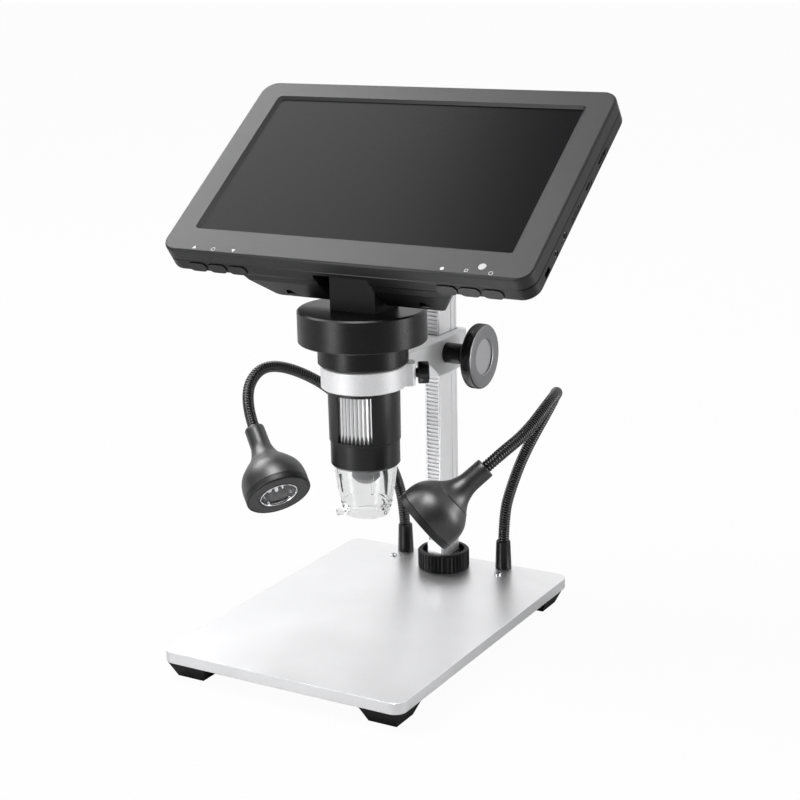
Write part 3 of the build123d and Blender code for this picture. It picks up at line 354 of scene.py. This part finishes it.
for side, lamp in lamps.items():
    foot = Vector(lamp["foot"])
    back = -Vector(lamp["aim"]).normalized()
    face = (foot + Vector(lamp["face"])) * mm
    lamp["back"], lamp["at"] = back, face
    route = [(foot + Vector(p)) * mm for p in lamp["low"] + lamp["high"]]
    route += [face + back * sleeve_mouth, face + back * stem_end]
    guide = bpy.data.curves.new("stem_line_" + side, "CURVE")
    guide.dimensions = "3D"
    guide.resolution_u = 24
    spline = guide.splines.new("NURBS")
    spline.points.add(len(route) - 1)
    for point, place in zip(spline.points, route):
        point.co = (*place, 1)
    spline.order_u = 3
    spline.use_endpoint_u = True
    line = bpy.data.objects.new("stem_line_" + side, guide)
    bpy.context.collection.objects.link(line)
    length = spline.calc_length() / mm
    turns = round(length / turn_pitch)
    first = round(turns * lamp["bent_from"])
    lower = wound_stem("stem_%s_lower" % side, line, 0, first, length / turns)
    clad(lower, [wound_steel], "lamp_%s_arm" % side, "stem_black", "lamp_neck_lower_" + side)
    upper = wound_stem("stem_%s_upper" % side, line, first, turns - first, length / turns)
    upper.data.materials.append(wound_steel)
    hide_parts("lamp_neck_upper_" + side)
    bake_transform(upper)
    bpy.data.objects.remove(line)


# ---------------------------------------------------------------------------------------
# Lamps: a domed black shell with a sleeve for the stem, a flat front ring screwed into it,
# a bright trim ring, a clear lens, and a faceted metallised bowl around the light source, with painted
# highlights in bright chrome on a band of its facets.
# ---------------------------------------------------------------------------------------
def set_down(piece, place):
    """Bring a piece to its place, and keep that place in its mesh."""
    piece.matrix_world = place
    bpy.ops.object.select_all(action="DESELECT")
    piece.select_set(True)
    bpy.context.view_layer.objects.active = piece
    bpy.ops.object.transform_apply(location=True, rotation=True, scale=True)


def seat(piece, at, back):
    """Bring a piece turned about Z onto an axis of its own, with its foot at a place."""
    across = back.cross(Vector((0, 0, 1))).normalized()
    turn = Matrix((across, back.cross(across), back)).transposed().to_4x4()
    set_down(piece, Matrix.Translation(at) @ turn)


def twin(piece, name):
    """A copy of a finished piece, with a mesh of its own."""
    copy = piece.copy()
    copy.data = piece.data.copy()
    copy.name = name
    bpy.context.collection.objects.link(copy)
    return copy


def sides_round(place, sides):
    """How many of a turned piece's sides a place is round from its X axis."""
    return sides * (place.xy.angle_signed(Vector((1, 0))) / (2 * pi))


def flute(piece, sides, every, radii, heights, depth):
    """Draw in every second or fourth side of a turned piece, in a band of radii and heights in mm."""
    bpy.ops.object.mode_set(mode="EDIT")
    bpy.ops.mesh.select_mode(type="VERT")
    bpy.ops.mesh.select_all(action="DESELECT")
    bpy.ops.object.mode_set(mode="OBJECT")
    for vertex in piece.data.vertices:
        place = vertex.co
        vertex.select = (radii[0] * mm < place.xy.length < radii[1] * mm
                         and heights[0] * mm < place.z < heights[1] * mm
                         and round(sides_round(place, sides)) % every == 0)
    bpy.ops.object.mode_set(mode="EDIT")
    bpy.ops.transform.resize(value=(depth, depth, 1), center_override=(0, 0, 0))
    bpy.ops.object.mode_set(mode="OBJECT")


shell_rings = [(13.3, 3.06), (14.86, 3.06), (15.0, 3.18), (15.05, 4.5), (15.05, 6.0), (14.9, 7.6),
               (14.65, 9.0), (14.3, 10.3), (13.8, 11.6), (13.1, 12.9), (12.3, 14.0), (11.3, 15.2),
               (10.4, 16.2), (9.75, 17.0), (9.3, 17.02), (9.28, 17.4), (8.85, 17.7), (7.75, 19.0),
               (7.0, 20.0), (6.4, 21.0), (5.95, 22.0), (5.6, 23.0), (5.2, 24.3), (4.9, 25.5), (4.75, 26.6),
               (4.68, 28.0), (4.65, 30.0), (4.62, 34.0), (4.6, 36.0), (4.45, 36.38), (4.2, 36.5),
               (3.55, 36.5), (3.3, 36.3), (2.8, 35.2), (2.8, 27.6), (3.6, 26.6), (4.2, 23.0), (6.2, 18.9),
               (8.6, 15.9), (10.6, 13.4), (11.6, 11.2), (12.6, 10.2), (13.3, 6.0), (13.3, 3.06)]
front_rings = [(8.75, 0.6), (9.25, 0.6), (9.35, 0.05), (9.45, -0.02), (9.7, -0.02), (13.8, -0.02),
               (14.05, -0.02), (14.15, 0.05), (14.25, 0.4), (14.5, 0.4), (14.55, 0.05), (14.65, -0.02),
               (14.8, 0.05), (14.95, 0.2), (15.0, 0.45), (15.0, 2.8), (14.88, 2.94), (13.2, 2.94),
               (13.2, 4.8), (12.4, 4.8), (12.4, 2.2), (9.5, 2.2), (9.5, 1.2), (8.75, 1.2), (8.75, 0.6)]
trim_rings = [(8.74, 0.9), (8.74, -0.05), (8.62, -0.18), (8.42, -0.18), (8.28, -0.02), (8.25, 0.25),
              (8.25, 0.9), (8.74, 0.9)]
lens_rings = [(0, 0.45), (3.0, 0.5), (6.0, 0.7), (8.2, 0.95), (8.24, 1.05), (8.24, 1.8), (8.1, 1.9),
              (0, 1.9)]
bowl_rings = [(8.3, 2.05), (9.2, 2.05), (9.2, 2.5), (8.6, 3.4), (7.7, 5.2), (6.2, 7.0), (3.6, 9.0),
              (2.5, 9.1), (2.5, 8.7), (3.2, 8.3), (5.6, 6.5), (6.4, 5.65), (7.1, 4.8), (8.0, 3.1),
              (8.3, 2.05)]
dome = turned_piece("lamp_left_dome", shell_rings, 128)
front = turned_piece("lamp_left_front", front_rings, 128)
trim = turned_piece("lamp_left_trim", trim_rings, 96)
lens = turned_piece("lamp_left_lens", lens_rings, 96)
bowl_sides = 48
bowl = turned_piece("lamp_left_bowl", bowl_rings, bowl_sides)
flute(bowl, bowl_sides, every=4, radii=(0, 8.1), heights=(2.9, 8.4), depth=0.88)
# Painted highlight: on every fourth side, the facets in a narrow band near the rim take bright chrome as
# painted glints; the rest keep the dark bowl finish.
for face in bowl.data.polygons:
    painted_glint_facet = 5.8 * mm < face.center.z < 6.4 * mm and sides_round(face.center, bowl_sides) % 4 < 1.6
    face.material_index = int(painted_glint_facet)

lamp_black = finish("lamp_black", (0.009, 0.009, 0.010), rough=0.40, grain=2600, bump=0.06, spread=0.04,
                    tone=0.08, gloss=0.9)
front_black = finish("front_black", (0.014, 0.014, 0.015), rough=0.42, grain=2400, bump=0.2, tone=0.12,
                     gloss=0.35)
bright_chrome = finish("bright_chrome", (0.86, 0.86, 0.87), rough=0.09, grain=400, bump=0.02, metal=1.0,
                       spread=0.04, tone=0.03)
bowl_shade = finish("bowl_shade", (0.045, 0.045, 0.047), rough=0.18, grain=500, bump=0.03, metal=1.0,
                    spread=0.05, tone=0.10)
clear_acrylic = finish("clear_acrylic", (0.995, 0.998, 0.998), rough=0.05, grain=300, bump=0.02, spread=0.03)
clear_acrylic.node_tree.nodes["Principled BSDF"].inputs["Transmission Weight"].default_value = 1.0
clear_acrylic.node_tree.nodes["Principled BSDF"].inputs["IOR"].default_value = 1.25
led_resin = finish("led_resin", (0.85, 0.83, 0.66), rough=0.3, grain=900, bump=0.05, tone=0.1)
for left_piece, paints, slot, stands_for in (
        (dome, [lamp_black], "lamp_black", ["lamp_shell_"]),
        (front, [front_black], "black_plastic", ["lamp_bezel_"]),
        (trim, [bright_chrome], "chrome_ring", []),
        (lens, [clear_acrylic], "clear_plastic", ["lamp_lens_"]),
        (bowl, [bowl_shade, bright_chrome], "reflector", ["lamp_reflector_"])):
    right_piece = twin(left_piece, left_piece.name.replace("left", "right"))
    for side, piece in (("left", left_piece), ("right", right_piece)):
        seat(piece, lamps[side]["at"], lamps[side]["back"])
        clad(piece, paints, "lamp_%s_head" % side, slot, *(node + side for node in stands_for))
dress(led_resin, "lamp_led_left", "lamp_led_right")

# ---------------------------------------------------------------------------------------
# Carriage: a blasted alloy casting with the clamp ring, a black liner that slides on the
# column, and bushes for the pinion's steel shaft.
# ---------------------------------------------------------------------------------------
cast_alloy = finish("cast_alloy", (0.90, 0.90, 0.91), rough=0.58, grain=2100, bump=0.5, metal=0.38,
                    spread=0.08, tone=0.10, gloss=0.3)
matt_moulding = finish("matt_moulding", (0.005, 0.005, 0.006), rough=0.34, grain=2300, bump=0.35,
                       spread=0.08, tone=0.2, gloss=0.25)
dress(cast_alloy, "carriage_arm")
dress(matt_moulding, "carriage_liner", "shaft_bushes")
dress(zinc_plate, "pinion_shaft")

# ---------------------------------------------------------------------------------------
# Height knob: black moulding with a finely knurled rim and a satin grey face ring, and a
# turned metal disc in its recess. It is pressed on the pinion's shaft.
# ---------------------------------------------------------------------------------------
shaft_middle = Vector((0, 53.82, 123.5)) * mm
knob_rings = [(2.02, 18.8), (4.4, 18.8), (4.6, 19.0), (4.8, 20.2), (5.2, 21.3), (6.0, 22.4), (7.2, 23.2),
              (9.0, 23.9), (11.5, 24.2), (14.0, 24.4), (14.6, 24.6), (14.9, 25.0), (15.0, 25.3),
              (15.0, 28.6), (14.9, 28.9), (14.7, 29.2), (14.4, 29.45), (14.1, 29.55), (9.0, 29.6),
              (8.6, 29.55), (8.3, 29.4), (8.2, 29.2), (8.2, 28.0), (2.02, 28.0), (2.02, 18.8)]
knob_sides = 180
knob = turned_piece("height_knob_grip", knob_rings, knob_sides)
flute(knob, knob_sides, every=2, radii=(14.8, 16), heights=(25.2, 28.7), depth=0.972)
for face in knob.data.polygons:
    on_face_ring = face.center.z > 28.3 * mm and 8.1 * mm < face.center.xy.length < 14.5 * mm
    face.material_index = int(on_face_ring)
set_down(knob, Matrix.Translation(shaft_middle) @ Matrix.Rotation(pi / 2, 4, "Y"))
gloss_moulding = finish("gloss_moulding", (0.007, 0.007, 0.008), rough=0.32, grain=1600, bump=0.05,
                        spread=0.05, tone=0.1, gloss=0.6)
face_grey = finish("face_grey", (0.27, 0.27, 0.28), rough=0.36, grain=900, bump=0.06, metal=1.0, spread=0.05,
                   tone=0.06)
turned_disc = finish("turned_disc", (0.50, 0.50, 0.51), rough=0.3, grain=1500, bump=0.02, metal=1.0,
                     spread=0.02, tone=0.03)
clad(knob, [gloss_moulding, face_grey], "height_knob", "gloss_black", "height_knob")
dress(turned_disc, "knob_insert")

# ---------------------------------------------------------------------------------------
# Thumb screw: a long ribbed black head moulded on a steel rod, in the lug of the clamp
# ring. It squeezes the ring on the head.
# ---------------------------------------------------------------------------------------
head_axis = -4.4 * mm
lug_bearing, lug_height = radians(34), 125.3 * mm
thumb_rings = [(0, 16.4), (1.5, 16.4), (1.5, 22.9), (2.1, 22.95), (2.1, 23.9), (4.4, 23.92), (4.75, 24.05),
               (4.9, 24.35), (4.9, 28.0), (4.8, 28.3), (4.55, 28.55), (4.2, 28.62), (0, 28.62)]
thumb_sides = 56
thumb = turned_piece("thumb_screw", thumb_rings, thumb_sides)
flute(thumb, thumb_sides, every=2, radii=(4.7, 5), heights=(24, 28.4), depth=0.93)
seat(thumb, Vector((0, head_axis, lug_height)), Vector((cos(lug_bearing), sin(lug_bearing), 0)))
clad(thumb, [gloss_moulding], "clamp_screw", "gloss_black", "clamp_screw")

# ---------------------------------------------------------------------------------------
# Head: black mouldings. The wide cap and the step below it sit on the clamp ring, and the
# tapered grip goes down through it. The neck block on the cap holds the screen's hinge.
# ---------------------------------------------------------------------------------------
grip_moulding = finish("grip_moulding", (0.008, 0.008, 0.009), rough=0.34, grain=2300, bump=0.2, tone=0.12,
                       gloss=0.35)
neck_moulding = finish("neck_moulding", (0.006, 0.006, 0.007), rough=0.5, grain=2300, bump=0.5, spread=0.08,
                       tone=0.3, gloss=0.12)
board_green = finish("board_green", (0.02, 0.11, 0.05), rough=0.4, grain=900, bump=0.1, tone=0.2)
dress(matt_moulding, "disc_housing", "step_housing")
dress(neck_moulding, "neck_block")
dress(grip_moulding, "body_shell", "guide_tube")
dress(zinc_plate, "neck_screws")
dress(board_green, "sensor_board", "led_ring")

# ---------------------------------------------------------------------------------------
# Focus ring: a plated sleeve with straight grooves, darkened with painted shade in them, most of
# all with a painted shadow under the upper edge of the windows that it shows in. It turns inside the grip.
# ---------------------------------------------------------------------------------------
ribbed_chrome = finish("ribbed_chrome", (0.82, 0.82, 0.83), rough=0.42, grain=900, bump=0.03, metal=0.5,
                       spread=0.05, tone=0.03)
nodes, links = ribbed_chrome.node_tree.nodes, ribbed_chrome.node_tree.links
where = nodes.new("ShaderNodeTexCoord")
centre = nodes.new("ShaderNodeMapping")
centre.inputs["Location"].default_value = (0, -head_axis, 0)
centre.inputs["Scale"].default_value = (1, 1, 0)
links.new(where.outputs["Object"], centre.inputs["Vector"])
reach = nodes.new("ShaderNodeVectorMath")
reach.operation = "LENGTH"
links.new(centre.outputs[0], reach.inputs[0])
# Painted shade: the colour darkens where the sleeve's surface lies down near the groove floor.
groove_floor, groove_lip = 13.92 * mm, 14.06 * mm
groove = nodes.new("ShaderNodeMapRange")
groove.inputs["From Min"].default_value = groove_floor
groove.inputs["From Max"].default_value = groove_lip
height = nodes.new("ShaderNodeSeparateXYZ")
links.new(where.outputs["Object"], height.inputs[0])
# Painted shadow: in a band of heights under the window's upper edge, the surface counts as lying deeper, so
# more of it darkens.
window_shadow_from, window_shadow_to, window_shadow_depth = 98.6 * mm, 101.2 * mm, 0.42 * mm
window_edge_painted_shadow = nodes.new("ShaderNodeMapRange")
window_edge_painted_shadow.inputs["From Min"].default_value = window_shadow_from
window_edge_painted_shadow.inputs["From Max"].default_value = window_shadow_to
window_edge_painted_shadow.inputs["To Min"].default_value = window_shadow_depth
window_edge_painted_shadow.inputs["To Max"].default_value = 0.0
links.new(height.outputs["Z"], window_edge_painted_shadow.inputs["Value"])
shaded = nodes.new("ShaderNodeMath")
shaded.operation = "SUBTRACT"
links.new(reach.outputs["Value"], shaded.inputs[0])
links.new(window_edge_painted_shadow.outputs[0], shaded.inputs[1])
links.new(shaded.outputs[0], groove.inputs["Value"])
# Painted shade and shadow: dark grey in the grooves and under the window edge, blended with the chrome's own
# colour elsewhere.
groove_painted_shade = nodes.new("ShaderNodeMix")
groove_painted_shade.data_type = "RGBA"
groove_painted_shade.inputs["A"].default_value = (0.10, 0.10, 0.102, 1)
links.new(groove.outputs[0], groove_painted_shade.inputs["Factor"])
links.new(nodes["colours"].outputs["Result"], groove_painted_shade.inputs["B"])
links.new(groove_painted_shade.outputs["Result"], nodes["Principled BSDF"].inputs["Base Color"])
dress(ribbed_chrome, "focus_ring")

# ---------------------------------------------------------------------------------------
# Lens: a grey-black barrel that ends in a tapered nozzle, turned in one piece, with the
# front lens set in its tip.
# ---------------------------------------------------------------------------------------
nozzle_rings = [(2.6, 76.4), (2.75, 76.25), (3.3, 76.25), (4.2, 76.8), (5.4, 77.9), (6.1, 78.7), (6.3, 79.3),
                (6.3, 86.2), (8.6, 86.75), (9.0, 87.2), (9.0, 110.3), (7.4, 110.3), (7.4, 90.3), (4.6, 86.3),
                (4.6, 81.2), (2.6, 79.4), (2.6, 76.4)]
nozzle = turned_piece("lens_nozzle", nozzle_rings, 96)
set_down(nozzle, Matrix.Translation((0, head_axis, 0)))
barrel_grey = finish("barrel_grey", (0.14, 0.14, 0.143), rough=0.38, grain=1800, bump=0.08, tone=0.1)
clad(nozzle, [barrel_grey], "lens", "black_plastic", "lens_barrel")
lens_glass = finish("lens_glass", (0.95, 0.97, 0.99), rough=0.03, grain=300, bump=0.01, spread=0.02)
lens_glass.node_tree.nodes["Principled BSDF"].inputs["Transmission Weight"].default_value = 1.0
dress(lens_glass, "objective_lens")


# ---------------------------------------------------------------------------------------
# Clear hood: a thin acrylic cup pushed into the grip around the nozzle, with lip rings near
# its rim, two narrow slots and a small moulded tab.
# ---------------------------------------------------------------------------------------
def hood_block(name, bearing, size, reach, height):
    """A block at a bearing round the hood, with its size and place in mm."""
    bpy.ops.object.select_all(action="DESELECT")
    bpy.ops.mesh.primitive_cube_add(size=1.0)
    block = bpy.context.object
    block.name = name
    set_down(block, Matrix.Rotation(radians(bearing), 4, "Z")
             @ Matrix.Translation((0, -reach * mm, height * mm))
             @ Matrix.Diagonal((size[0] * mm, size[1] * mm, size[2] * mm, 1)))
    return block


hood_rim = 61.6 * mm
hood_rings = [(14.2, 27.0), (14.2, 23.3), (13.5, 18.0), (12.8, 12.7), (12.2, 10.2), (11.6, 7.7), (11.3, 6.3),
              (11.46, 6.0), (11.46, 5.6), (11.0, 5.2), (10.85, 4.6), (11.0, 4.2), (11.0, 3.8), (10.65, 3.4),
              (10.5, 2.7), (10.4, 2.1), (10.25, 1.3), (10.0, 0.7), (9.7, 0.25), (9.4, 0.05), (9.1, 0.0),
              (8.8, 0.05), (8.65, 0.3), (8.8, 1.0), (9.15, 2.1), (9.35, 3.3), (9.8, 5.3), (10.4, 7.7),
              (11.6, 12.7), (12.3, 18.0), (13.0, 23.3), (13.0, 27.0), (14.2, 27.0)]
hood = turned_piece("hood", hood_rings, 128)
for bearing in (-25, 43):
    cutter = hood_block("slot_cutter", bearing, size=(1.0, 10.0, 8.5), reach=15.0, height=16.55)
    cut = hood.modifiers.new("slot", "BOOLEAN")
    cut.operation = "DIFFERENCE"
    cut.solver = "EXACT"
    cut.object = cutter
    bpy.context.view_layer.objects.active = hood
    bpy.ops.object.modifier_apply(modifier="slot")
    bpy.data.objects.remove(cutter)
tab = hood_block("hood_tab", -45, size=(3.0, 4.3, 2.5), reach=11.75, height=1.65)
bpy.ops.object.mode_set(mode="EDIT")
bpy.ops.mesh.select_all(action="SELECT")
bpy.ops.mesh.bevel(offset=0.5 * mm, segments=3)
bpy.ops.object.mode_set(mode="OBJECT")
bpy.ops.object.shade_smooth_by_angle(angle=radians(35))
for piece, stands_for in ((hood, ["clear_hood"]), (tab, [])):
    set_down(piece, Matrix.Translation((0, head_axis, hood_rim)))
    clad(piece, [clear_acrylic], "head", "clear_plastic", *stands_for)

# ---------------------------------------------------------------------------------------
# Screen: two black shells with fine moulded grain, a dark cover glass behind the bevelled
# opening, and sockets in the right-hand edge. The panel, boards and cell are inside.
# ---------------------------------------------------------------------------------------
case_moulding = finish("case_moulding", (0.028, 0.028, 0.029), rough=0.42, grain=2100, bump=0.4, spread=0.08,
                       tone=0.2, gloss=0.26)
rear_moulding = finish("rear_moulding", (0.010, 0.010, 0.011), rough=0.42, grain=2100, bump=0.35,
                       spread=0.08, tone=0.2, gloss=0.3)
cover_glass = finish("cover_glass", (0.003, 0.003, 0.004), rough=0.24, grain=400, bump=0.0, spread=0.004,
                     tone=0.05, gloss=0.04)
panel_dark = finish("panel_dark", (0.010, 0.010, 0.012), rough=0.3, grain=900, bump=0.02, spread=0.05,
                    tone=0.1)
cell_wrap = finish("cell_wrap", (0.40, 0.41, 0.43), rough=0.4, grain=900, bump=0.1, tone=0.1)
socket_shell = finish("socket_shell", (0.55, 0.55, 0.56), rough=0.3, grain=1200, bump=0.05, metal=1.0,
                      tone=0.06)
status_lens = finish("status_lens", (0.72, 0.72, 0.73), rough=0.25, grain=900, bump=0.02, spread=0.05,
                     tone=0.05)
dress(case_moulding, "screen_bezel")
dress(rear_moulding, "screen_rear")
dress(cover_glass, "screen_glass")
dress(panel_dark, "lcd_panel")
dress(board_green, "main_board", "key_boards")
dress(cell_wrap, "battery")
dress(socket_shell, "port_sockets")
dress(status_lens, "status_light")
dress(zinc_plate, "case_screws", "hinge_pin")

# ---------------------------------------------------------------------------------------
# Screw caps: small black plugs pressed into the two lower screw wells of the rear shell,
# cut off along the slope of its hump.
# ---------------------------------------------------------------------------------------
lean = radians(53.9)
screen_up = Vector((0, sin(lean), cos(lean)))
screen_out = Vector((0, -cos(lean), sin(lean)))
screen_middle = Vector((0, 20.7, 211.4)) * mm
screen_turn = Matrix((Vector((1, 0, 0)), screen_up, screen_out)).transposed().to_4x4()
on_screen = Matrix.Translation(screen_middle) @ screen_turn
well_across, well_up = 33.5 * mm, -52.5 * mm
slope_place, slope_out = (0, -53.2 * mm, -27.7 * mm), (0, -0.955, -0.296)
cap_rings = [(0, -27.65), (2.6, -27.65), (2.79, -27.45), (2.79, -25.9), (0, -25.9)]
left_cap = turned_piece("screw_cap_left", cap_rings, 48)
set_down(left_cap, Matrix.Translation((0, well_up, 0)))
bpy.ops.object.mode_set(mode="EDIT")
bpy.ops.mesh.select_all(action="SELECT")
bpy.ops.mesh.bisect(plane_co=slope_place, plane_no=slope_out, use_fill=True, clear_outer=True)
bpy.ops.object.mode_set(mode="OBJECT")
for cap, well in ((twin(left_cap, "screw_cap_right"), well_across), (left_cap, -well_across)):
    set_down(cap, on_screen @ Matrix.Translation((well, 0, 0)))
    clad(cap, [rear_moulding], "display", "black_plastic")

# ---------------------------------------------------------------------------------------
# Keys: six rounded black keys moulded in satin plastic, each in its own opening of the
# screen's lower edge.
# ---------------------------------------------------------------------------------------
dress(satin_moulding, "key_up", "key_ok", "key_down", "key_capture", "key_mode", "key_power")

# ---------------------------------------------------------------------------------------
# Key marks: small pale prints on the bezel above each key, generic triangles, rings and a
# dot, a few hundredths of a millimetre thick.
# ---------------------------------------------------------------------------------------
bezel_height, ink_thickness, line_width = 1.49 * mm, 0.04 * mm, 0.26 * mm
print_ink = finish("print_ink", (0.78, 0.78, 0.79), rough=0.5, grain=1500, bump=0.05, tone=0.1)
for mark, corners, turn, hollow, along, above, size in (
        ("mark_up", 3, 90, False, -72.7, -55.7, 1.15), ("mark_ok", 24, 0, True, -62.6, -55.7, 1.0),
        ("mark_down", 3, -90, False, -52.0, -55.4, 1.15), ("mark_capture", 24, 0, False, 51.1, -55.5, 0.9),
        ("mark_mode", 4, 45, True, 62.1, -55.4, 1.1), ("mark_power", 24, 0, True, 73.3, -55.8, 1.0)):
    bpy.ops.object.select_all(action="DESELECT")
    bpy.ops.mesh.primitive_circle_add(vertices=corners, radius=size * mm, fill_type="NGON",
                                      rotation=(0, 0, radians(turn - 90)))
    print_mark = bpy.context.object
    print_mark.name = mark
    bpy.ops.object.transform_apply(rotation=True)
    bpy.ops.object.mode_set(mode="EDIT")
    bpy.ops.mesh.select_all(action="SELECT")
    if hollow:
        bpy.ops.mesh.inset(thickness=line_width)
        bpy.ops.mesh.delete(type="FACE")
        bpy.ops.mesh.select_all(action="SELECT")
    bpy.ops.mesh.extrude_region_move(TRANSFORM_OT_translate={"value": (0, 0, ink_thickness)})
    bpy.ops.mesh.select_all(action="SELECT")
    bpy.ops.mesh.normals_make_consistent(inside=False)
    bpy.ops.object.mode_set(mode="OBJECT")
    set_down(print_mark, on_screen @ Matrix.Translation((along * mm, above * mm, bezel_height)))
    clad(print_mark, [print_ink], "display", "status_clear")
